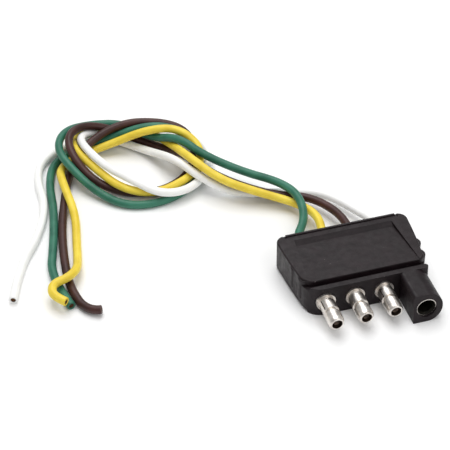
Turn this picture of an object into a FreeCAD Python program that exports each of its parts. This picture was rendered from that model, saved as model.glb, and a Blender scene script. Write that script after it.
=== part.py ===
"""Flat four-way trailer wiring connector with its four wires, in millimetres.

The connector lies on its flat underside, with the contacts facing -Y and the wires leaving
towards +Y. The origin is the middle of the underside, midway between the second and the
third contact. Each sub-part is one solid in parts/NODE.step.
"""
import FreeCAD
import Part
import math
import os

V = FreeCAD.Vector

# Contacts: four lanes side by side, three with pins and the last with a socket
PITCH = 10.5
AXIS_Z = 5.5
COLOURS = ["green", "yellow", "brown", "white"]
PIN_COLOURS = COLOURS[:3]
LANE_X = {colour: (i - 1.5) * PITCH for i, colour in enumerate(COLOURS)}
FIT_GAP = 0.05

# Housing: a moulded block whose bowed sides draw in towards the contacts
HOUSING_SHIFT_X = -0.45
HOUSING_BACK_Y = 13.8
HOUSING_FRONT_Y = -13.0
HALF_WIDTHS = {HOUSING_BACK_Y: 24.4, 0.0: 23.4, HOUSING_FRONT_Y: 21.6}
HOUSING_TOP = 12.2
STEP_Y = -11.4
STEP_Z = 9.7
BACK_CORNER_R = 3.2
STEP_LEFT_R = 5.0
STEP_RIGHT_R = 2.2
UNDERSIDE_R = 1.2
TOP_EDGE_R = 0.6
RECESS_DEPTH_BACK = 1.1
RECESS_DEPTH_FRONT = 0.12
RECESS_HALF_BACK = 18.0
RECESS_HALF_FRONT = 20.2
RECESS_FOOT_Y = 8.4
RECESS_HEAD_Y = 10.4
RIDGE_HALF = 20.4
RIDGE_DEPTH = 0.9
RIDGE_HEIGHT = 0.5
NOTCH_WIDTH = 1.0
NOTCH_DEPTH = 0.6
BUMP_YS = (-1.95, -7.85)
BUMP_R = 2.6
BUMP_PROUD = {-1: 0.35, 1: 1.05}
BUMP_EDGE_R = 0.3
BUMP_BOTTOM = 3.2
BUMP_TOP = 11.5
MOUTH_R = 2.3
MOUTH_DEPTH = 0.9

# Carrier: the inner moulding that holds the contacts and forms the nose and the socket boss
NOSE_RIGHT_X = 21.7
NOSE_TOP = 11.0
NOSE_TOP_Y = -14.9
NOSE_FOOT_Y = -16.0
NOSE_LEFT_R = 6.5
NOSE_RIGHT_R = 0.9
NOSE_SHOULDER_X = 17.0
TONGUE_HALF_WIDTH = 19.0
TONGUE_BOTTOM = 1.9
TONGUE_TOP = 8.9
TONGUE_BACK_Y = 0.0
BOSS_LEFT_X = 11.0
BOSS_ROUND_X = 16.1
BOSS_R = 5.5
BOSS_TOP_END_Y = -27.5
BOSS_FOOT_END_Y = -29.1
BOSS_TOP_CORNER_R = 1.3

# Metal contacts
PIN_R = 2.8
PIN_TIP_Y = -26.9
PIN_TIP_R = 2.15
SHOULDER_Y = -24.9
SHOULDER_STEPS = 8
PIN_HOLE_R = 1.85
PIN_HOLE_DEPTH = 2.0
CORE_R = 1.0
CORE_DEPTH = 0.8
NECK_R = 2.15
NECK_FRONT_Y = -21.75
NECK_BACK_Y = -21.1
NECK_TAPER = 0.3
COLLAR_R = 3.45
COLLAR_FRONT_Y = -15.85
COLLAR_BACK_Y = -13.9
SEAM_WIDTH = 0.4
SEAM_DEPTH = 0.5
SEAM_TURNS = {"green": 52.0, "yellow": 170.0, "brown": 52.0}
SHANK_R = 2.3
SLEEVE_R = 3.55
SLEEVE_BORE_R = 2.9
SLEEVE_MOUTH_R = 3.3
SLEEVE_LIP_Y = -27.9
SLEEVE_FLARE = 0.9
SLEEVE_FLOOR_Y = -17.0
SLEEVE_BACK_Y = -14.8
BARREL_R = 1.9
BARREL_BORE_R = 1.0
BARREL_FLOOR_Y = 0.6
BARREL_BACK_Y = 5.2

# Wires: a limp jacket over a stranded conductor
WIRE_R = 1.55
JACKET_BORE_R = 0.97
CONDUCTOR_R = 0.92
CONDUCTOR_TIP_Y = 0.9
ARC_SHARE = 0.45
ROUTES = {
    "green": [
        (-15.75, 6, 5.5), (-15.75, 17.5, 5.5), (-8.5, 27, 6), (-7, 39, 7.5), (-11.5, 49, 7),
        (-22, 59.5, 6), (-34.5, 70, 9), (-42, 79.5, 12.5), (-49.5, 90.5, 5.5), (-58.5, 102, 6.5),
        (-70.5, 104.5, 7), (-82, 101, 9), (-87, 91, 9), (-84.5, 80.5, 7.5), (-77.5, 68.5, 3),
        (-68.5, 58.5, 1.6), (-56, 56, 1.6), (-43.5, 60.5, 1.6), (-36, 69.5, 1.6), (-33.5, 79, 5.5),
        (-39, 88.5, 9), (-50, 93, 10.5), (-64, 96, 5.5), (-77.5, 97.5, 1.6), (-89, 91.5, 1.6),
        (-93, 78.5, 1.6), (-94, 64, 1.6), (-98, 45, 1.6), (-102.5, 28, 1.6), (-98.3, 11.8, 1.6),
    ],
    "yellow": [
        (-5.25, 6, 5.5), (-5.25, 17.5, 5.5), (-3, 29, 5), (-8, 39.5, 3.5), (-20.5, 46.5, 6),
        (-33, 53.5, 9.5), (-41.5, 67, 12.5), (-44, 85, 6), (-48, 99, 1.6), (-60.5, 107, 1.6),
        (-72, 107, 2.5), (-79.5, 100.5, 5.5), (-80.5, 89, 8), (-75, 77, 6.5), (-68, 64.5, 5),
        (-56.5, 59.5, 3.5), (-43.5, 63, 4.5), (-36, 69.5, 5), (-34, 77, 8.5), (-40.5, 86, 12),
        (-52, 90, 10.5), (-65.5, 93, 4.5), (-79, 93, 1.6), (-87.5, 86, 2.5), (-88.5, 73.5, 6),
        (-87, 58, 2.5), (-90, 42.5, 1.6), (-91.5, 33.5, 2), (-93, 26.5, 4.5), (-97, 22.5, 5),
        (-102.5, 21, 5), (-104, 17, 5), (-102.5, 13.5, 5), (-100, 11, 4.8),
    ],
    "brown": [
        (5.25, 6, 5.5), (5.25, 17.5, 5.5), (4.5, 29.5, 4.5), (-2.5, 41, 4), (-15, 47, 3),
        (-29, 54, 7), (-37.5, 63.5, 9), (-40.5, 76, 6.5), (-45, 87, 1.6), (-55.5, 96.5, 2.5),
        (-66, 100.5, 7.5), (-75.5, 99.5, 11), (-82, 94, 11.5), (-82.5, 84.5, 9.5),
        (-77.5, 74.5, 4), (-68.5, 66.5, 1.6), (-56, 62.5, 1.6), (-45, 66, 1.6), (-37.5, 74.5, 1.6),
        (-34, 85, 3), (-37, 91.5, 7), (-45.5, 96.5, 8.5), (-59.5, 98, 10), (-74, 94.5, 6.5),
        (-84, 84, 2), (-89.5, 67.5, 1.6), (-93.5, 52, 1.6), (-96, 36, 1.6), (-97, 21, 1.6),
        (-94, 7.7, 1.6), (-88.9, 6.3, 2.4),
    ],
    "white": [
        (15.75, 6, 5.5), (15.75, 17.5, 5.5), (11.5, 29.5, 3.5), (4, 42.5, 3), (-9.5, 49, 1.6),
        (-26.5, 52.5, 1.6), (-38.5, 58.5, 7.5), (-45.5, 72, 8.5), (-52, 86, 3), (-60, 96, 1.6),
        (-67, 100.5, 3.5), (-73.5, 99.5, 7), (-77.5, 94, 9), (-76.5, 84.5, 10.5), (-71.5, 74, 9),
        (-63.5, 63.5, 8.5), (-55, 56.5, 5.5), (-43.5, 57.5, 4), (-34, 66.5, 4), (-29, 80.5, 2),
        (-34.5, 93.5, 3), (-48, 101, 6.5), (-64.5, 103.5, 2), (-80.5, 100.5, 1.6), (-93, 94, 2),
        (-97, 82.5, 2), (-96.5, 67.5, 1.6), (-102.5, 50.5, 1.6), (-112, 36.5, 1.6),
        (-117, 20.5, 1.6),
    ],
}

CLEAR = 1.0  # how far a cutting solid runs past the face that it cuts through


def box(x0, x1, y0, y1, z0, z1):
    return Part.makeBox(x1 - x0, y1 - y0, z1 - z0, V(x0, y0, z0))


def prism(points, height):
    """A solid that stands on a polygon of points at one level."""
    face = Part.Face(Part.makePolygon(points + points[:1]))
    return face.extrude(V(0, 0, height))


def lane_cylinder(colour, radius, y_front, y_back):
    """A cylinder on a contact's axis, between two places along Y."""
    foot = V(LANE_X[colour], y_front, AXIS_Z)
    return Part.makeCylinder(radius, y_back - y_front, foot, V(0, 1, 0))


def rounded(shape, radius, wanted):
    """Round the edges whose two ends and middle all pass the wanted test."""
    edges = []
    for edge in shape.Edges:
        middle = edge.valueAt((edge.FirstParameter + edge.LastParameter) / 2)
        places = [vertex.Point for vertex in edge.Vertexes] + [middle]
        if all(wanted(place) for place in places):
            edges.append(edge)
    return shape.makeFillet(radius, edges)


def half_width(y):
    """Half the housing's width at a place along Y, on a parabola through three widths."""
    total = 0.0
    for known_y, width in HALF_WIDTHS.items():
        share = 1.0
        for other_y in HALF_WIDTHS:
            if other_y != known_y:
                share *= (y - other_y) / (known_y - other_y)
        total += share * width
    return total


def plan(y_front, height):
    """The housing's outline from its back to y_front, with bowed sides, raised to a block."""
    middle_y = (HOUSING_BACK_Y + y_front) / 2
    left, right = [[V(HOUSING_SHIFT_X + side * half_width(y), y, 0)
                    for y in (HOUSING_BACK_Y, middle_y, y_front)] for side in (-1, 1)]
    edges = [
        Part.LineSegment(left[0], right[0]).toShape(),
        Part.Arc(*right).toShape(),
        Part.LineSegment(right[2], left[2]).toShape(),
        Part.Arc(left[2], left[1], left[0]).toShape(),
    ]
    return Part.Face(Part.Wire(edges)).extrude(V(0, 0, height))


def round_upright(block, y, left_r, right_r):
    """Round a block's upright edges at y, each side with its own radius."""
    for radius, side in ((left_r, -1), (right_r, 1)):
        edges = []
        for edge in block.Edges:
            ends = [vertex.Point for vertex in edge.Vertexes]
            at_y = all(abs(end.y - y) < FIT_GAP and end.x * side > 0 for end in ends)
            if len(ends) == 2 and at_y and abs(ends[0].x - ends[1].x) < FIT_GAP:
                edges.append(edge)
        block = block.makeFillet(radius, edges)
    return block


def leaning_wedge(left_x, right_x, back_y, foot_y, top_y, height):
    """A block between two places along X whose front face leans from foot_y to top_y."""
    side_view = [V(left_x, back_y, 0), V(left_x, foot_y, 0), V(left_x, top_y, height),
                 V(left_x, back_y, height)]
    face = Part.Face(Part.makePolygon(side_view + side_view[:1]))
    return face.extrude(V(right_x - left_x, 0, 0))


def lower_block():
    """The whole lower part, housing and nose together, with its leaning rounded front."""
    block = plan(NOSE_FOOT_Y, NOSE_TOP)
    block = block.common(leaning_wedge(-2 * RIDGE_HALF, 2 * RIDGE_HALF, HOUSING_BACK_Y,
                                       NOSE_FOOT_Y, NOSE_TOP_Y, NOSE_TOP))
    corners = []
    for edge in block.Edges:
        reach = edge.BoundBox
        if reach.XMax < 0 and reach.YMax < HOUSING_FRONT_Y and reach.ZLength > NOSE_TOP / 2:
            corners.append(edge)
    return block.makeFillet(NOSE_LEFT_R, corners)


def housing_block():
    """The block: its upper part ends in a step a little short of the lower part."""
    lower = lower_block().common(box(-2 * RIDGE_HALF, 2 * RIDGE_HALF, HOUSING_FRONT_Y,
                                     HOUSING_BACK_Y, 0, STEP_Z))
    lower = round_upright(lower, HOUSING_BACK_Y, BACK_CORNER_R, BACK_CORNER_R)
    upper = plan(STEP_Y, HOUSING_TOP)
    upper = round_upright(upper, HOUSING_BACK_Y, BACK_CORNER_R, BACK_CORNER_R)
    upper = round_upright(upper, STEP_Y, STEP_LEFT_R, STEP_RIGHT_R)
    lower = rounded(lower, UNDERSIDE_R,
                    lambda place: place.z < FIT_GAP and place.y > HOUSING_FRONT_Y + FIT_GAP)
    upper = rounded(upper, TOP_EDGE_R, lambda place: place.z > HOUSING_TOP - FIT_GAP)
    crown = box(-2 * RIDGE_HALF, 2 * RIDGE_HALF, STEP_Y - CLEAR, HOUSING_BACK_Y + CLEAR,
                STEP_Z, HOUSING_TOP)
    return lower.fuse(upper.common(crown))


def grip_bump(side, y):
    """An upright rib on one side wall: low on the left, higher on the right."""
    centre_x = HOUSING_SHIFT_X + side * (half_width(y) + BUMP_PROUD[side] - BUMP_R)
    foot = V(centre_x, y, BUMP_BOTTOM)
    bump = Part.makeCylinder(BUMP_R, BUMP_TOP - BUMP_BOTTOM, foot)
    bump = bump.makeFillet(BUMP_EDGE_R, [edge for edge in bump.Edges if edge.Closed])
    bump.rotate(foot, V(0, 0, 1), 90)
    return bump


def recess():
    """The sunk panel on top: deepest at its sloping back wall, and nearly level in front."""
    front_y = STEP_Y - CLEAR
    lid_z = HOUSING_TOP + CLEAR
    slope = (RECESS_HEAD_Y - RECESS_FOOT_Y) / RECESS_DEPTH_BACK
    lid_y = RECESS_HEAD_Y + slope * CLEAR
    side_view = [
        V(-HALF_WIDTHS[HOUSING_BACK_Y], front_y, HOUSING_TOP - RECESS_DEPTH_FRONT),
        V(-HALF_WIDTHS[HOUSING_BACK_Y], RECESS_FOOT_Y, HOUSING_TOP - RECESS_DEPTH_BACK),
        V(-HALF_WIDTHS[HOUSING_BACK_Y], lid_y, lid_z),
        V(-HALF_WIDTHS[HOUSING_BACK_Y], front_y, lid_z),
    ]
    face = Part.Face(Part.makePolygon(side_view + side_view[:1]))
    wedge = face.extrude(V(2 * HALF_WIDTHS[HOUSING_BACK_Y], 0, 0))
    floor_z = HOUSING_TOP - RECESS_DEPTH_BACK
    outline = [
        V(HOUSING_SHIFT_X - RECESS_HALF_BACK, lid_y, floor_z),
        V(HOUSING_SHIFT_X + RECESS_HALF_BACK, lid_y, floor_z),
        V(HOUSING_SHIFT_X + RECESS_HALF_FRONT, front_y, floor_z),
        V(HOUSING_SHIFT_X - RECESS_HALF_FRONT, front_y, floor_z),
    ]
    return wedge.common(prism(outline, lid_z - floor_z))


def back_ridge():
    """The low raised lip along the back edge of the top."""
    back_y = HOUSING_BACK_Y - TOP_EDGE_R / 2
    top_z = HOUSING_TOP + RIDGE_HEIGHT
    ridge = box(HOUSING_SHIFT_X - RIDGE_HALF, HOUSING_SHIFT_X + RIDGE_HALF,
                back_y - RIDGE_DEPTH, back_y, STEP_Z, top_z)
    return rounded(ridge, RIDGE_HEIGHT / 2, lambda place: place.z > top_z - FIT_GAP)


def ridge_notch(side):
    """The nick between one end of the ridge and the raised strip beside it."""
    inner_x = HOUSING_SHIFT_X + side * RIDGE_HALF
    outer_x = inner_x + side * NOTCH_WIDTH
    return box(min(inner_x, outer_x), max(inner_x, outer_x),
               HOUSING_BACK_Y - 2 * RIDGE_DEPTH, HOUSING_BACK_Y + CLEAR,
               HOUSING_TOP - NOTCH_DEPTH, HOUSING_TOP + CLEAR)


def wire_passage(colour):
    """The hole that a wire leaves by, with its flared mouth."""
    hole = lane_cylinder(colour, WIRE_R + FIT_GAP, BARREL_BACK_Y, HOUSING_BACK_Y + CLEAR)
    foot = V(LANE_X[colour], HOUSING_BACK_Y - MOUTH_DEPTH, AXIS_Z)
    mouth = Part.makeCone(WIRE_R + FIT_GAP, MOUTH_R, MOUTH_DEPTH, foot, V(0, 1, 0))
    return hole.fuse(mouth)


def housing():
    solid = housing_block()
    bumps = [grip_bump(side, y) for side in (-1, 1) for y in BUMP_YS]
    solid = solid.multiFuse(bumps + [back_ridge()])
    tongue_room = box(-TONGUE_HALF_WIDTH - FIT_GAP, TONGUE_HALF_WIDTH + FIT_GAP,
                      HOUSING_FRONT_Y - CLEAR, TONGUE_BACK_Y + FIT_GAP,
                      TONGUE_BOTTOM - FIT_GAP, TONGUE_TOP + FIT_GAP)
    cuts = [recess(), tongue_room, ridge_notch(-1), ridge_notch(1)]
    for colour in COLOURS:
        cuts.append(lane_cylinder(colour, BARREL_R + FIT_GAP, TONGUE_BACK_Y,
                                  BARREL_BACK_Y + FIT_GAP))
        cuts.append(wire_passage(colour))
    return solid.cut(Part.makeCompound(cuts)).removeSplitter()


def nose():
    """The front of the lower part, and its right end that stands out past the housing."""
    front = lower_block().common(box(-2 * RIDGE_HALF, NOSE_SHOULDER_X, NOSE_FOOT_Y,
                                     HOUSING_FRONT_Y, 0, NOSE_TOP))
    end = leaning_wedge(0, NOSE_RIGHT_X, HOUSING_FRONT_Y, NOSE_FOOT_Y, NOSE_TOP_Y, NOSE_TOP)
    corners = [edge for edge in end.Edges
               if all(vertex.X > NOSE_RIGHT_X - FIT_GAP for vertex in edge.Vertexes)
               and abs(edge.Vertexes[0].Z - edge.Vertexes[1].Z) > NOSE_TOP / 2]
    end = end.makeFillet(NOSE_RIGHT_R, corners)
    return front.fuse(end)


def boss():
    """The D-shaped tube around the socket: flat on the left, round on the right."""
    start_y = HOUSING_FRONT_Y
    low = V(BOSS_ROUND_X, start_y, AXIS_Z - BOSS_R + FIT_GAP)
    high = V(BOSS_ROUND_X, start_y, AXIS_Z + BOSS_R)
    side = V(BOSS_ROUND_X + BOSS_R, start_y, AXIS_Z)
    top_left = V(BOSS_LEFT_X, start_y, high.z)
    bottom_left = V(BOSS_LEFT_X, start_y, low.z)
    edges = [
        Part.LineSegment(bottom_left, low).toShape(),
        Part.Arc(low, side, high).toShape(),
        Part.LineSegment(high, top_left).toShape(),
        Part.LineSegment(top_left, bottom_left).toShape(),
    ]
    tube = Part.Face(Part.Wire(edges)).extrude(V(0, BOSS_FOOT_END_Y - start_y, 0))
    tube = rounded(tube, BOSS_TOP_CORNER_R,
                   lambda place: place.x < BOSS_LEFT_X + FIT_GAP and place.z > AXIS_Z)
    return tube.common(leaning_wedge(0, 2 * BOSS_ROUND_X, start_y, BOSS_FOOT_END_Y,
                                     BOSS_TOP_END_Y, AXIS_Z + BOSS_R))


def terminal_carrier():
    tongue = box(-TONGUE_HALF_WIDTH, TONGUE_HALF_WIDTH, HOUSING_FRONT_Y, TONGUE_BACK_Y,
                 TONGUE_BOTTOM, TONGUE_TOP)
    solid = nose().multiFuse([boss(), tongue])
    cuts = []
    for colour in COLOURS:
        cuts.append(lane_cylinder(colour, SHANK_R + FIT_GAP, NOSE_FOOT_Y, TONGUE_BACK_Y + CLEAR))
    for colour in PIN_COLOURS:
        cuts.append(lane_cylinder(colour, COLLAR_R + FIT_GAP, COLLAR_FRONT_Y - CLEAR,
                                  COLLAR_BACK_Y + FIT_GAP))
    cuts.append(lane_cylinder("white", SLEEVE_R + FIT_GAP, BOSS_FOOT_END_Y - CLEAR,
                              SLEEVE_BACK_Y + FIT_GAP))
    return solid.cut(Part.makeCompound(cuts)).removeSplitter()


def turned(profile, colour):
    """A solid of revolution about a contact's axis, from (radius, y) places."""
    points = [V(radius, y, 0) for radius, y in profile]
    face = Part.Face(Part.makePolygon(points + points[:1]))
    solid = face.revolve(V(0, 0, 0), V(0, 1, 0), 360)
    solid.translate(V(LANE_X[colour], 0, AXIS_Z))
    return solid


def crimp_end():
    """The (radius, y) places of the shank's back end and the barrel on the conductor."""
    return [
        (SHANK_R, TONGUE_BACK_Y - FIT_GAP),
        (BARREL_R, TONGUE_BACK_Y - FIT_GAP),
        (BARREL_R, BARREL_BACK_Y),
        (BARREL_BORE_R, BARREL_BACK_Y),
        (BARREL_BORE_R, BARREL_FLOOR_Y),
        (0, BARREL_FLOOR_Y),
    ]


def shoulder():
    """The (radius, y) places of the rounded end of a pin, from the tip backwards."""
    places = []
    for step in range(SHOULDER_STEPS + 1):
        angle = math.pi / 2 * step / SHOULDER_STEPS
        radius = PIN_TIP_R + (PIN_R - PIN_TIP_R) * math.sin(angle)
        y = SHOULDER_Y + (PIN_TIP_Y - SHOULDER_Y) * math.cos(angle)
        places.append((radius, y))
    return places


def seam(colour):
    """The slit along a pin's stem where the rolled metal meets, turned about its axis."""
    top_z = PIN_R + CLEAR
    slit = box(-SEAM_WIDTH / 2, SEAM_WIDTH / 2, NECK_BACK_Y + NECK_TAPER,
               COLLAR_FRONT_Y - SEAM_DEPTH, PIN_R - SEAM_DEPTH, top_z)
    slit.rotate(V(0, 0, 0), V(0, 1, 0), -SEAM_TURNS[colour])
    slit.translate(V(LANE_X[colour], 0, AXIS_Z))
    return slit


def pin(colour):
    """A pin with a hollow rounded end, a neck, a collar and a crimp barrel."""
    profile = [
        (0, PIN_TIP_Y + CORE_DEPTH),
        (CORE_R, PIN_TIP_Y + CORE_DEPTH),
        (CORE_R, PIN_TIP_Y + PIN_HOLE_DEPTH),
        (PIN_HOLE_R, PIN_TIP_Y + PIN_HOLE_DEPTH),
        (PIN_HOLE_R, PIN_TIP_Y),
    ]
    profile += shoulder()
    profile += [
        (PIN_R, NECK_FRONT_Y - NECK_TAPER),
        (NECK_R, NECK_FRONT_Y),
        (NECK_R, NECK_BACK_Y),
        (PIN_R, NECK_BACK_Y + NECK_TAPER),
        (PIN_R, COLLAR_FRONT_Y),
        (COLLAR_R, COLLAR_FRONT_Y),
        (COLLAR_R, COLLAR_BACK_Y),
        (SHANK_R, COLLAR_BACK_Y),
    ]
    return turned(profile + crimp_end(), colour).cut(seam(colour))


def socket():
    """The sleeve that a mating pin enters, with a flared lip and a crimp barrel."""
    profile = [
        (0, SLEEVE_FLOOR_Y),
        (SLEEVE_BORE_R, SLEEVE_FLOOR_Y),
        (SLEEVE_BORE_R, SLEEVE_LIP_Y + SLEEVE_FLARE),
        (SLEEVE_MOUTH_R, SLEEVE_LIP_Y),
        (SLEEVE_R, SLEEVE_LIP_Y),
        (SLEEVE_R, SLEEVE_BACK_Y),
        (SHANK_R, SLEEVE_BACK_Y),
    ]
    return turned(profile + crimp_end(), "white")


def smooth_path(colour):
    """The route's straight runs joined by tangent arcs, with the arcs' radii."""
    points = [V(*place) for place in ROUTES[colour]]
    edges = []
    radii = []
    start = points[0]
    for before, corner, after in zip(points, points[1:], points[2:]):
        back = before - corner
        ahead = after - corner
        cut_back = ARC_SHARE * min(back.Length, ahead.Length)
        half_turn = (math.pi - back.getAngle(ahead)) / 2
        back.normalize()
        ahead.normalize()
        first = corner + back * cut_back
        last = corner + ahead * cut_back
        radius = cut_back / math.tan(half_turn)
        inward = back + ahead
        inward.normalize()
        middle = corner + inward * (radius / math.cos(half_turn) - radius)
        edges.append(Part.LineSegment(start, first).toShape())
        edges.append(Part.Arc(first, middle, last).toShape())
        radii.append(radius)
        start = last
    edges.append(Part.LineSegment(start, points[-1]).toShape())
    return Part.Wire(edges), radii


def ring_face(colour, outer_r, inner_r):
    """The section of a tube at the start of its route."""
    centre = V(*ROUTES[colour][0])
    axis = V(0, 1, 0)
    outer = Part.Wire(Part.makeCircle(outer_r, centre, axis))
    if inner_r == 0:
        return Part.Face(outer)
    inner = Part.Wire(Part.makeCircle(inner_r, centre, axis))
    return Part.Face(outer).cut(Part.Face(inner)).Faces[0]


def jacket(colour):
    path, radii = smooth_path(colour)
    tube = path.makePipe(ring_face(colour, WIRE_R, JACKET_BORE_R))
    section = math.pi * (WIRE_R ** 2 - JACKET_BORE_R ** 2)
    share = tube.Volume / (section * path.Length)
    print(f"{colour} jacket: length {path.Length:.1f}, volume over section x length {share:.4f}")
    print(f"{colour} radii:", " ".join(f"{radius:.1f}" for radius in radii))
    return tube


def conductor(colour):
    """The strands as one round core, stripped at the contact's end for the crimp."""
    path, _ = smooth_path(colour)
    core = path.makePipe(ring_face(colour, CONDUCTOR_R, 0))
    stripped = lane_cylinder(colour, CONDUCTOR_R, CONDUCTOR_TIP_Y, ROUTES[colour][0][1])
    return core.fuse(stripped).removeSplitter()


def save(shape, node):
    if shape.ShapeType == "Compound" and len(shape.Solids) == 1:
        shape = shape.Solids[0]
    if len(shape.Solids) != 1 or not shape.isValid():
        raise RuntimeError(f"{node} is not one valid solid")
    shape.exportStep(os.path.join("parts", node + ".step"))
    print(f"{node}: {shape.Volume:.1f} mm3, {len(shape.Faces)} faces")


def main():
    os.makedirs("parts", exist_ok=True)
    save(housing(), "housing")
    save(terminal_carrier(), "terminal_carrier")
    for colour in PIN_COLOURS:
        save(pin(colour), "pin_" + colour)
    save(socket(), "socket_white")
    for colour in COLOURS:
        save(jacket(colour), "jacket_" + colour)
        save(conductor(colour), "conductor_" + colour)


main()
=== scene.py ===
"""A flat trailer wiring connector and its four knotted wires, in metres."""
import math

import bmesh
import bpy
from mathutils import Matrix, Vector


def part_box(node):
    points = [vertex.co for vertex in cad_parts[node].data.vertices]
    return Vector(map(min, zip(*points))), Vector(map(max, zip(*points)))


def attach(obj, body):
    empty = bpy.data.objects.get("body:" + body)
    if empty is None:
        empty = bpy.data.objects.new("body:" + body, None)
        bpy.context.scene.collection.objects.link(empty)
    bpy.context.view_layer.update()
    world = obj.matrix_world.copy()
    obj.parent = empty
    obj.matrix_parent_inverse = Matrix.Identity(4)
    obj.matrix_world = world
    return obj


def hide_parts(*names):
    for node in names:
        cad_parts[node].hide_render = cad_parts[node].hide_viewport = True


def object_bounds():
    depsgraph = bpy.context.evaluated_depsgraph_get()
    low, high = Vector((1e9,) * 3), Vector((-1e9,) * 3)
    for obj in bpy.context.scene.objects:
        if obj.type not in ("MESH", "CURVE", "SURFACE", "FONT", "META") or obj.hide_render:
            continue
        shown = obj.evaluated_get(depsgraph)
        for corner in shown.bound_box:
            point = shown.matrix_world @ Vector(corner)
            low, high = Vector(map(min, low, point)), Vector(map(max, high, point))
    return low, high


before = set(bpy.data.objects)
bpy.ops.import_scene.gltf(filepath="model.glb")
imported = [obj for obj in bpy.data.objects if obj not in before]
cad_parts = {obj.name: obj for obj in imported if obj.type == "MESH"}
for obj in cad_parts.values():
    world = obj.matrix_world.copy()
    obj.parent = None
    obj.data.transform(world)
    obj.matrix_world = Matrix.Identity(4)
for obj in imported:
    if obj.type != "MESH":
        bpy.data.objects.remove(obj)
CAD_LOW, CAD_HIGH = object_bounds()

COLOURS = ["green", "yellow", "brown", "white"]

# Camera: where it aims, how far off it stands, and its angles in degrees
CAMERA_AIM = (-0.0420, 0.0161, 0.0205)
CAMERA_DISTANCE = 0.4886
CAMERA_AZIMUTH = -16.08
CAMERA_ELEVATION = 40.82
CAMERA_ROLL = -0.64
CAMERA_LENS = 113.4
SENSOR_WIDTH = 36
CLIP_START = 0.01

# Lights: a large key overhead and a little behind, with weaker ones in front and behind
LIGHTS = {
    "key_light": {"place": (-0.05, 0.26, 0.86), "size": 0.8, "power": 5.0},
    "fill_light": {"place": (0.30, -0.45, 0.55), "size": 0.6, "power": 1.2},
    "back_light": {"place": (0.1, 0.65, 0.6), "size": 0.6, "power": 1.0},
}
WHITE = (1.0, 1.0, 1.0, 1.0)
WORLD_STRENGTH = 0.46
FLOOR_HALF = 1.5

# Colours, as 0 to 255 screen values: the darkest and the lightest of each surface
FLOOR_SHADES = ((250, 250, 250), (253, 253, 253))
HOUSING_SHADES = ((19, 11, 14), (34, 23, 27))
CARRIER_SHADES = ((18, 11, 14), (32, 22, 26))
SPECK_SHADE = (150, 142, 140)
TIN_SHADES = ((202, 195, 188), (238, 233, 227))
# The contacts' hollows are painted shade: dark brownish colours standing in for the shade in the
# bores, hollow ends and seams
PIN_HOLLOW_PAINTED_SHADE = ((30, 23, 19), (92, 74, 62))
SLEEVE_HOLLOW_PAINTED_SHADE = ((16, 15, 11), (40, 36, 28))
COPPER_SHADES = ((58, 40, 28), (126, 88, 58))
JACKET_SHADES = {
    "green": ((34, 95, 76), (57, 123, 100)),
    "yellow": ((226, 196, 52), (246, 222, 80)),
    "brown": ((50, 24, 20), (74, 41, 36)),
    "white": ((245, 245, 242), (253, 253, 251)),
}
HOUSING_SPECKS = 0.9
CARRIER_SPECKS = 0.3

# Wires
WIRE_RADIUS = 0.00155
WIRE_BORE = 0.00097
BORE_DEPTH = 0.004
RIM_ROUNDING = 0.00012
STRAND_RINGS = [(1, 0.0), (6, 0.00036), (12, 0.00071)]
STRAND_RADIUS = 0.000175
STRAND_RECESS = 0.0001
STRAND_REACH = 0.006
STRAND_TWIST = 320.0
STRAND_STEPS = 12
STRAND_SIDES = 8
CORE_RADIUS = 0.00085
JACKET_SIDES = 24
SPLINE_ORDER = 3
SPLINE_STEPS = 12

# Contacts: the surfaces nearer the axis than these are the hollow ones, which get painted shade
PIN_HOLLOW_RADIUS = 0.00187
PIN_SEAM_RADIUS = 0.00272
SLEEVE_HOLLOW_RADIUS = 0.00328
HOLLOW_BACK_Y = -0.0165
SEAM_FRONT_Y = -0.0207
SEAM_BACK_Y = -0.0166

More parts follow.
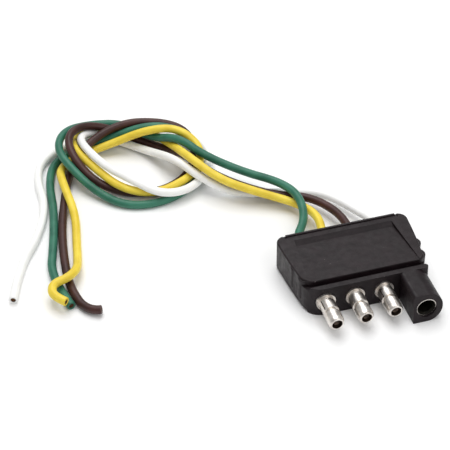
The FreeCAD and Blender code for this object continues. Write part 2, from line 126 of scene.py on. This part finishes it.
# Each wire's route, from its crimp inside the housing, through the knot, to its cut end
ROUTES = {
    "green": [
        (-0.01575, 0.006, 0.0055), (-0.01575, 0.0175, 0.0055), (-0.0085, 0.027, 0.006),
        (-0.007, 0.039, 0.0075), (-0.0115, 0.049, 0.007), (-0.022, 0.0595, 0.006),
        (-0.0345, 0.07, 0.009), (-0.042, 0.0795, 0.0125), (-0.0495, 0.0905, 0.0055),
        (-0.0585, 0.102, 0.0065), (-0.0705, 0.1045, 0.007), (-0.082, 0.101, 0.009),
        (-0.087, 0.091, 0.009), (-0.0845, 0.0805, 0.0075), (-0.0775, 0.0685, 0.003),
        (-0.0685, 0.0585, 0.0016), (-0.056, 0.056, 0.0016), (-0.0435, 0.0605, 0.0016),
        (-0.036, 0.0695, 0.0016), (-0.0335, 0.079, 0.0055), (-0.039, 0.0885, 0.009),
        (-0.05, 0.093, 0.0105), (-0.064, 0.096, 0.0055), (-0.0775, 0.0975, 0.0016),
        (-0.089, 0.0915, 0.0016), (-0.093, 0.0785, 0.0016), (-0.094, 0.064, 0.0016),
        (-0.098, 0.045, 0.0016), (-0.1025, 0.028, 0.0016), (-0.0983, 0.0118, 0.0016),
    ],
    "yellow": [
        (-0.00525, 0.006, 0.0055), (-0.00525, 0.0175, 0.0055), (-0.003, 0.029, 0.005),
        (-0.008, 0.0395, 0.0035), (-0.0205, 0.0465, 0.006), (-0.033, 0.0535, 0.0095),
        (-0.0415, 0.067, 0.0125), (-0.044, 0.085, 0.006), (-0.048, 0.099, 0.0016),
        (-0.0605, 0.107, 0.0016), (-0.072, 0.107, 0.0025), (-0.0795, 0.1005, 0.0055),
        (-0.0805, 0.089, 0.008), (-0.075, 0.077, 0.0065), (-0.068, 0.0645, 0.005),
        (-0.0565, 0.0595, 0.0035), (-0.0435, 0.063, 0.0045), (-0.036, 0.0695, 0.005),
        (-0.034, 0.077, 0.0085), (-0.0405, 0.086, 0.012), (-0.052, 0.09, 0.0105),
        (-0.0655, 0.093, 0.0045), (-0.079, 0.093, 0.0016), (-0.0875, 0.086, 0.0025),
        (-0.0885, 0.0735, 0.006), (-0.087, 0.058, 0.0025), (-0.09, 0.0425, 0.0016),
        (-0.0915, 0.0335, 0.002), (-0.093, 0.0265, 0.0045), (-0.097, 0.0225, 0.005),
        (-0.1025, 0.021, 0.005), (-0.104, 0.017, 0.005), (-0.1025, 0.0135, 0.005),
        (-0.1, 0.011, 0.0048),
    ],
    "brown": [
        (0.00525, 0.006, 0.0055), (0.00525, 0.0175, 0.0055), (0.0045, 0.0295, 0.0045),
        (-0.0025, 0.041, 0.004), (-0.015, 0.047, 0.003), (-0.029, 0.054, 0.007),
        (-0.0375, 0.0635, 0.009), (-0.0405, 0.076, 0.0065), (-0.045, 0.087, 0.0016),
        (-0.0555, 0.0965, 0.0025), (-0.066, 0.1005, 0.0075), (-0.0755, 0.0995, 0.011),
        (-0.082, 0.094, 0.0115), (-0.0825, 0.0845, 0.0095), (-0.0775, 0.0745, 0.004),
        (-0.0685, 0.0665, 0.0016), (-0.056, 0.0625, 0.0016), (-0.045, 0.066, 0.0016),
        (-0.0375, 0.0745, 0.0016), (-0.034, 0.085, 0.003), (-0.037, 0.0915, 0.007),
        (-0.0455, 0.0965, 0.0085), (-0.0595, 0.098, 0.01), (-0.074, 0.0945, 0.0065),
        (-0.084, 0.084, 0.002), (-0.0895, 0.0675, 0.0016), (-0.0935, 0.052, 0.0016),
        (-0.096, 0.036, 0.0016), (-0.097, 0.021, 0.0016), (-0.094, 0.0077, 0.0016),
        (-0.0889, 0.0063, 0.0024),
    ],
    "white": [
        (0.01575, 0.006, 0.0055), (0.01575, 0.0175, 0.0055), (0.0115, 0.0295, 0.0035),
        (0.004, 0.0425, 0.003), (-0.0095, 0.049, 0.0016), (-0.0265, 0.0525, 0.0016),
        (-0.0385, 0.0585, 0.0075), (-0.0455, 0.072, 0.0085), (-0.052, 0.086, 0.003),
        (-0.06, 0.096, 0.0016), (-0.067, 0.1005, 0.0035), (-0.0735, 0.0995, 0.007),
        (-0.0775, 0.094, 0.009), (-0.0765, 0.0845, 0.0105), (-0.0715, 0.074, 0.009),
        (-0.0635, 0.0635, 0.0085), (-0.055, 0.0565, 0.0055), (-0.0435, 0.0575, 0.004),
        (-0.034, 0.0665, 0.004), (-0.029, 0.0805, 0.002), (-0.0345, 0.0935, 0.003),
        (-0.048, 0.101, 0.0065), (-0.0645, 0.1035, 0.002), (-0.0805, 0.1005, 0.0016),
        (-0.093, 0.094, 0.002), (-0.097, 0.0825, 0.002), (-0.0965, 0.0675, 0.0016),
        (-0.1025, 0.0505, 0.0016), (-0.112, 0.0365, 0.0016), (-0.117, 0.0205, 0.0016),
    ],
}


# ---------------------------------------------------------------- camera, light and floor

def add_camera():
    azimuth = math.radians(CAMERA_AZIMUTH)
    elevation = math.radians(CAMERA_ELEVATION)
    roll = math.radians(CAMERA_ROLL)
    back = Vector((math.sin(azimuth) * math.cos(elevation),
                   -math.cos(azimuth) * math.cos(elevation),
                   math.sin(elevation)))
    level = Vector((math.cos(azimuth), math.sin(azimuth), 0))
    upright = back.cross(level)
    right = level * math.cos(roll) + upright * math.sin(roll)
    up = back.cross(right)
    data = bpy.data.cameras.new("camera")
    data.lens = CAMERA_LENS
    data.sensor_width = SENSOR_WIDTH
    data.clip_start = CLIP_START
    camera = bpy.data.objects.new("camera", data)
    place = Matrix((right, up, back)).transposed().to_4x4()
    place.translation = Vector(CAMERA_AIM) + back * CAMERA_DISTANCE
    camera.matrix_world = place
    bpy.context.scene.collection.objects.link(camera)
    bpy.context.scene.camera = camera


def add_area_light(name, place, size, power):
    data = bpy.data.lights.new(name, "AREA")
    data.shape = "DISK"
    data.size = size
    data.energy = power
    light = bpy.data.objects.new(name, data)
    light.location = place
    towards = Vector(CAMERA_AIM) - Vector(place)
    light.rotation_euler = towards.to_track_quat("-Z", "Y").to_euler()
    bpy.context.scene.collection.objects.link(light)


def add_lights():
    for name, light in LIGHTS.items():
        add_area_light(name, light["place"], light["size"], light["power"])
    world = bpy.data.worlds.new("studio")
    world.use_nodes = True
    background = world.node_tree.nodes["Background"]
    background.inputs["Color"].default_value = WHITE
    background.inputs["Strength"].default_value = WORLD_STRENGTH
    bpy.context.scene.world = world
    bpy.context.scene.view_settings.view_transform = "Standard"


def add_floor():
    middle = (Vector(CAD_LOW) + Vector(CAD_HIGH)) / 2
    mesh = bpy.data.meshes.new("floor")
    corners = [(middle.x + side_x * FLOOR_HALF, middle.y + side_y * FLOOR_HALF, 0.0)
               for side_x, side_y in ((-1, -1), (1, -1), (1, 1), (-1, 1))]
    mesh.from_pydata(corners, [], [(0, 1, 2, 3)])
    floor = bpy.data.objects.new("floor", mesh)
    bpy.context.scene.collection.objects.link(floor)
    mesh.materials.append(floor_material())


# ---------------------------------------------------------------- materials

class Nodes:
    """Short ways to add and join the nodes of one material."""

    def __init__(self, name):
        self.material = bpy.data.materials.new(name)
        self.material.use_nodes = True
        self.tree = self.material.node_tree
        self.shader = self.tree.nodes["Principled BSDF"]
        self.where = self.add("ShaderNodeTexCoord").outputs["Object"]

    def add(self, kind):
        return self.tree.nodes.new(kind)

    def join(self, source, target):
        self.tree.links.new(source, target)

    def set(self, **values):
        for name, value in values.items():
            self.shader.inputs[name.replace("_", " ")].default_value = value

    def stretched(self, scale, source=None):
        mapping = self.add("ShaderNodeMapping")
        mapping.inputs["Scale"].default_value = scale
        self.join(source or self.where, mapping.inputs["Vector"])
        return mapping.outputs["Vector"]

    def noise(self, scale, detail=4.0, rough=0.5, source=None):
        node = self.add("ShaderNodeTexNoise")
        node.inputs["Scale"].default_value = scale
        node.inputs["Detail"].default_value = detail
        node.inputs["Roughness"].default_value = rough
        self.join(source or self.where, node.inputs["Vector"])
        return node.outputs["Fac"]

    def tint(self, source, shades, from_low=0.3, from_high=0.7):
        """A colour between two shades, as the source goes from one level to another."""
        node = self.add("ShaderNodeValToRGB")
        places = (from_low, from_high)
        for point, place, shade in zip(node.color_ramp.elements, places, shades):
            point.position = place
            point.color = rgb(*shade)
        self.join(source, node.inputs["Fac"])
        return node.outputs["Color"]

    def shade(self, source, shades, from_low=0.3, from_high=0.7):
        tint = self.tint(source, shades, from_low, from_high)
        self.join(tint, self.shader.inputs["Base Color"])

    def roughen(self, source, low, high, from_low=0.0, from_high=1.0):
        roughness = self.level(source, low, high, from_low, from_high)
        self.join(roughness, self.shader.inputs["Roughness"])

    def level(self, source, low, high, from_low=0.0, from_high=1.0):
        node = self.add("ShaderNodeMapRange")
        node.inputs["From Min"].default_value = from_low
        node.inputs["From Max"].default_value = from_high
        node.inputs["To Min"].default_value = low
        node.inputs["To Max"].default_value = high
        self.join(source, node.inputs["Value"])
        return node.outputs["Result"]

    def maths(self, operation, first, second):
        node = self.add("ShaderNodeMath")
        node.operation = operation
        for socket, value in zip(node.inputs, (first, second)):
            if isinstance(value, float):
                socket.default_value = value
            else:
                self.join(value, socket)
        return node.outputs["Value"]

    def bump(self, height, distance, strength=1.0, onto=None):
        node = self.add("ShaderNodeBump")
        node.inputs["Distance"].default_value = distance
        node.inputs["Strength"].default_value = strength
        self.join(height, node.inputs["Height"])
        if onto is not None:
            self.join(onto, node.inputs["Normal"])
        return node.outputs["Normal"]


def rgb(red, green, blue):
    """A colour from its 0 to 255 screen values."""
    linear = [((c / 255 + 0.055) / 1.055) ** 2.4 if c > 10 else c / 255 / 12.92
              for c in (red, green, blue)]
    return (*linear, 1.0)


def floor_material():
    nodes = Nodes("pale_floor")
    nodes.set(Roughness=0.9)
    nodes.shade(nodes.noise(scale=3.0), FLOOR_SHADES)
    return nodes.material


def vinyl_material(name, shades, specks):
    """Moulded black vinyl: mottled, a little shiny, with shallow flow marks and pale specks."""
    nodes = Nodes(name)
    mottle = nodes.noise(scale=170.0, detail=6.0, rough=0.6)
    tint = nodes.tint(mottle, shades, from_low=0.3, from_high=0.72)
    dust = nodes.level(nodes.noise(scale=1500.0, detail=2.0), low=0.0, high=1.0,
                       from_low=0.71, from_high=0.76)
    patch = nodes.level(nodes.noise(scale=90.0, detail=2.0), low=0.0, high=specks,
                        from_low=0.52, from_high=0.66)
    mix = nodes.add("ShaderNodeMix")
    mix.data_type = "RGBA"
    nodes.join(nodes.maths("MULTIPLY", dust, patch), mix.inputs["Factor"])
    nodes.join(tint, mix.inputs["A"])
    mix.inputs["B"].default_value = rgb(*SPECK_SHADE)
    nodes.join(mix.outputs["Result"], nodes.shader.inputs["Base Color"])
    nodes.roughen(nodes.noise(scale=420.0, detail=3.0), low=0.36, high=0.56,
                  from_low=0.3, from_high=0.7)
    flow = nodes.noise(scale=110.0, detail=3.0, source=nodes.stretched((0.3, 2.2, 1.0)))
    grain = nodes.noise(scale=2600.0, detail=2.0)
    lumps = nodes.noise(scale=420.0, detail=2.0)
    normal = nodes.bump(flow, distance=0.0007, strength=0.5)
    normal = nodes.bump(lumps, distance=0.00022, strength=0.5, onto=normal)
    normal = nodes.bump(grain, distance=0.00006, strength=0.5, onto=normal)
    nodes.join(normal, nodes.shader.inputs["Normal"])
    nodes.set(Specular_IOR_Level=0.26)
    return nodes.material


def contact_material():
    """Tin-plated brass: satin, cloudy, with faint rings round each pin from its turning."""
    nodes = Nodes("contact_tin")
    nodes.set(Metallic=1.0)
    cloud = nodes.noise(scale=500.0, detail=3.0)
    nodes.shade(cloud, TIN_SHADES)
    rings = nodes.noise(scale=900.0, detail=2.0, source=nodes.stretched((0.02, 6.0, 0.02)))
    nodes.roughen(cloud, low=0.26, high=0.38, from_low=0.3, from_high=0.7)
    nodes.join(nodes.bump(rings, distance=0.00002, strength=0.3), nodes.shader.inputs["Normal"])
    return nodes.material


def hollow_shade_material(name, shades):
    """Painted shade inside the contacts: the bores, the hollow ends and the seams coloured dark
    and brownish where shade falls.
    """
    nodes = Nodes(name)
    nodes.set(Metallic=0.6)
    nodes.shade(nodes.noise(scale=900.0, detail=3.0), shades)
    nodes.roughen(nodes.noise(scale=1500.0), low=0.45, high=0.65)
    return nodes.material


def jacket_material(colour):
    """Extruded vinyl: a soft sheen, die lines along the wire and small scuffs."""
    nodes = Nodes("jacket_" + colour)
    along = nodes.add("ShaderNodeUVMap")
    along.uv_map = "along"
    drawn_out = nodes.stretched((60.0, 14.0, 1.0), along.outputs["UV"])
    streaks = nodes.noise(scale=1.0, detail=3.0, source=drawn_out)
    cloud = nodes.noise(scale=140.0, detail=3.0)
    mixed = nodes.maths("ADD", nodes.maths("MULTIPLY", streaks, 0.35),
                        nodes.maths("MULTIPLY", cloud, 0.65))
    nodes.shade(mixed, JACKET_SHADES[colour], from_low=0.36, from_high=0.62)
    scuffs = nodes.noise(scale=900.0, detail=3.0)
    nodes.roughen(scuffs, low=0.34, high=0.5, from_low=0.3, from_high=0.7)
    lined = nodes.stretched((25.0, 40.0, 1.0), along.outputs["UV"])
    die_lines = nodes.noise(scale=1.0, detail=2.0, source=lined)
    normal = nodes.bump(die_lines, distance=0.00005, strength=0.4)
    waves = nodes.noise(scale=260.0, detail=2.0)
    normal = nodes.bump(waves, distance=0.0001, strength=0.5, onto=normal)
    nodes.join(normal, nodes.shader.inputs["Normal"])
    nodes.set(Coat_Weight=0.05, Coat_Roughness=0.3, Specular_IOR_Level=0.36)
    return nodes.material


def copper_material():
    """Fine copper strands, dulled, with lighter and browner patches."""
    nodes = Nodes("copper_strands")
    nodes.set(Metallic=1.0)
    nodes.shade(nodes.noise(scale=2500.0, detail=3.0), COPPER_SHADES)
    nodes.roughen(nodes.noise(scale=4000.0), low=0.3, high=0.5)
    return nodes.material


# ---------------------------------------------------------------- wires

def smooth_line(name, points):
    """Points along the smooth spline that a route's points control."""
    data = bpy.data.curves.new(name + "_line", "CURVE")
    data.dimensions = "3D"
    spline = data.splines.new("NURBS")
    spline.points.add(len(points) - 1)
    for point, place in zip(spline.points, points):
        point.co = (*place, 1.0)
    spline.order_u = SPLINE_ORDER
    spline.use_endpoint_u = True
    spline.resolution_u = SPLINE_STEPS
    guide = bpy.data.objects.new(name + "_line", data)
    mesh = bpy.data.meshes.new_from_object(guide)
    line = [vertex.co.copy() for vertex in mesh.vertices]
    bpy.data.objects.remove(guide)
    bpy.data.meshes.remove(mesh)
    bpy.data.curves.remove(data)
    return line


def frames_along(line):
    """A place, a direction and a sideways direction that turns as little as it can."""
    frames = []
    side = None
    for i, place in enumerate(line):
        ahead = line[min(i + 1, len(line) - 1)] - line[max(i - 1, 0)]
        ahead.normalize()
        if side is None:
            side = ahead.orthogonal().normalized()
        side = (side - ahead * side.dot(ahead)).normalized()
        frames.append((place, ahead, side.copy()))
    return frames


def distances(line):
    """How far along the line each of its points is."""
    reached = [0.0]
    for before, after in zip(line, line[1:]):
        reached.append(reached[-1] + (after - before).length)
    return reached


def cut_line(line, start, end):
    """The stretch of a line between two distances along it."""
    reached = distances(line)
    places = [line_at(line, reached, start)]
    places += [place for place, s in zip(line, reached) if start < s < end]
    places.append(line_at(line, reached, end))
    return places


def line_at(line, reached, wanted):
    for i in range(1, len(line)):
        if reached[i] >= wanted or i == len(line) - 1:
            share = (wanted - reached[i - 1]) / (reached[i] - reached[i - 1])
            return line[i - 1].lerp(line[i], share)


def new_piece(name, mesh, material):
    piece = bpy.data.objects.new(name, mesh)
    bpy.context.scene.collection.objects.link(piece)
    mesh.materials.append(material)
    for face in mesh.polygons:
        face.use_smooth = True
    return piece


def add_rings(bm, rings, sides, uv=None):
    """Join rings of vertices into one skin, and close both of its ends."""
    loops = []
    for place, side, other, radius, _ in rings:
        ring = []
        for k in range(sides):
            angle = 2 * math.pi * k / sides
            out = side * math.cos(angle) + other * math.sin(angle)
            ring.append(bm.verts.new(place + out * radius))
        loops.append(ring)
    for i, (before, after) in enumerate(zip(loops, loops[1:])):
        for k in range(sides):
            nxt = (k + 1) % sides
            face = bm.faces.new((before[k], before[nxt], after[nxt], after[k]))
            if uv is not None:
                marks = ((i, k), (i, k + 1), (i + 1, k + 1), (i + 1, k))
                for corner, (row, column) in zip(face.loops, marks):
                    corner[uv].uv = (rings[row][4], column / sides)
    bm.faces.new(reversed(loops[0]))
    bm.faces.new(loops[-1])


def jacket_mesh(name, line):
    """The jacket's skin, with a rounded rim and the bore's mouth at its bare end."""
    rings = []
    reached = distances(line)
    for (place, ahead, side), s in zip(frames_along(line), reached):
        rings.append((place, side, ahead.cross(side), WIRE_RADIUS, s))
    place, side, other, _, length = rings.pop()
    ahead = side.cross(other)
    inner = (WIRE_BORE + WIRE_RADIUS) / 2
    lip = [
        (-RIM_ROUNDING, WIRE_RADIUS),
        (-RIM_ROUNDING / 3, WIRE_RADIUS - RIM_ROUNDING / 3),
        (0.0, WIRE_RADIUS - RIM_ROUNDING),
        (0.0, inner),
        (0.0, WIRE_BORE),
        (-BORE_DEPTH, WIRE_BORE),
    ]
    while reached[len(rings) - 1] > length - RIM_ROUNDING:
        rings.pop()
    for offset, radius in lip:
        rings.append((place + ahead * offset, side, other, radius, length + offset))
    bm = bmesh.new()
    uv = bm.loops.layers.uv.new("along")
    add_rings(bm, rings, JACKET_SIDES, uv)
    mesh = bpy.data.meshes.new(name)
    bm.to_mesh(mesh)
    bm.free()
    return mesh


def strands_mesh(name, line):
    """The conductor: a plain core inside the jacket, and twisted strands near its bare end."""
    length = distances(line)[-1]
    bm = bmesh.new()
    core = cut_line(line, 0.0, length - STRAND_REACH)
    rings = [(place, side, ahead.cross(side), CORE_RADIUS, 0.0)
             for place, ahead, side in frames_along(core)]
    add_rings(bm, rings, STRAND_SIDES)
    end = cut_line(line, length - STRAND_REACH, length - STRAND_RECESS)
    reached = distances(end)
    spaced = [line_at(end, reached, reached[-1] * i / STRAND_STEPS)
              for i in range(STRAND_STEPS + 1)]
    frames = frames_along(spaced)
    for count, ring_radius in STRAND_RINGS:
        for k in range(count):
            rings = []
            for i, (place, ahead, side) in enumerate(frames):
                turn = 2 * math.pi * k / count + STRAND_TWIST * reached[-1] * i / STRAND_STEPS
                other = ahead.cross(side)
                out = side * math.cos(turn) + other * math.sin(turn)
                rings.append((place + out * ring_radius, side, other, STRAND_RADIUS, 0.0))
            add_rings(bm, rings, STRAND_SIDES)
    mesh = bpy.data.meshes.new(name)
    bm.to_mesh(mesh)
    bm.free()
    return mesh


def add_wire(colour, copper):
    line = smooth_line(colour, ROUTES[colour])
    wire = new_piece("wire_" + colour, jacket_mesh("wire_" + colour, line),
                     jacket_material(colour))
    strands = new_piece("strands_" + colour, strands_mesh("strands_" + colour, line), copper)
    for piece in (wire, strands):
        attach(piece, "root")
    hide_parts("jacket_" + colour)
    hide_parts("conductor_" + colour)


def add_wires():
    copper = copper_material()
    for colour in COLOURS:
        add_wire(colour, copper)


# ---------------------------------------------------------------- the connector's own parts

def dress(node, material, hollow=None, hollow_radius=0.0, seam_radius=0.0):
    """Give a CAD node its material, and its hollow parts a second one that paints shade into
    them.
    """
    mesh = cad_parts[node].data
    mesh.materials.clear()
    mesh.materials.append(material)
    if hollow is None:
        return
    mesh.materials.append(hollow)
    low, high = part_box(node)
    axis_x = (low.x + high.x) / 2
    axis_z = (low.z + high.z) / 2
    for face in mesh.polygons:
        radius = math.hypot(face.center.x - axis_x, face.center.z - axis_z)
        # A face in a bore, a hollow end or a seam takes the second material, painted shade
        inside = radius < hollow_radius and face.center.y < HOLLOW_BACK_Y
        in_seam = radius < seam_radius and SEAM_FRONT_Y < face.center.y < SEAM_BACK_Y
        if inside or in_seam:
            face.material_index = 1


def dress_connector():
    dress("housing", vinyl_material("housing_vinyl", HOUSING_SHADES, HOUSING_SPECKS))
    dress("terminal_carrier", vinyl_material("carrier_vinyl", CARRIER_SHADES, CARRIER_SPECKS))
    tin = contact_material()
    # The hollows of the pins and of the socket's sleeve get painted shade
    pin_hollow_shade = hollow_shade_material("pin_hollow_shade", PIN_HOLLOW_PAINTED_SHADE)
    sleeve_hollow_shade = hollow_shade_material("sleeve_hollow_shade", SLEEVE_HOLLOW_PAINTED_SHADE)
    for colour in COLOURS[:3]:
        dress("pin_" + colour, tin, pin_hollow_shade, PIN_HOLLOW_RADIUS, PIN_SEAM_RADIUS)
    dress("socket_white", tin, sleeve_hollow_shade, SLEEVE_HOLLOW_RADIUS)


add_camera()
add_wires()
dress_connector()
add_floor()
add_lights()
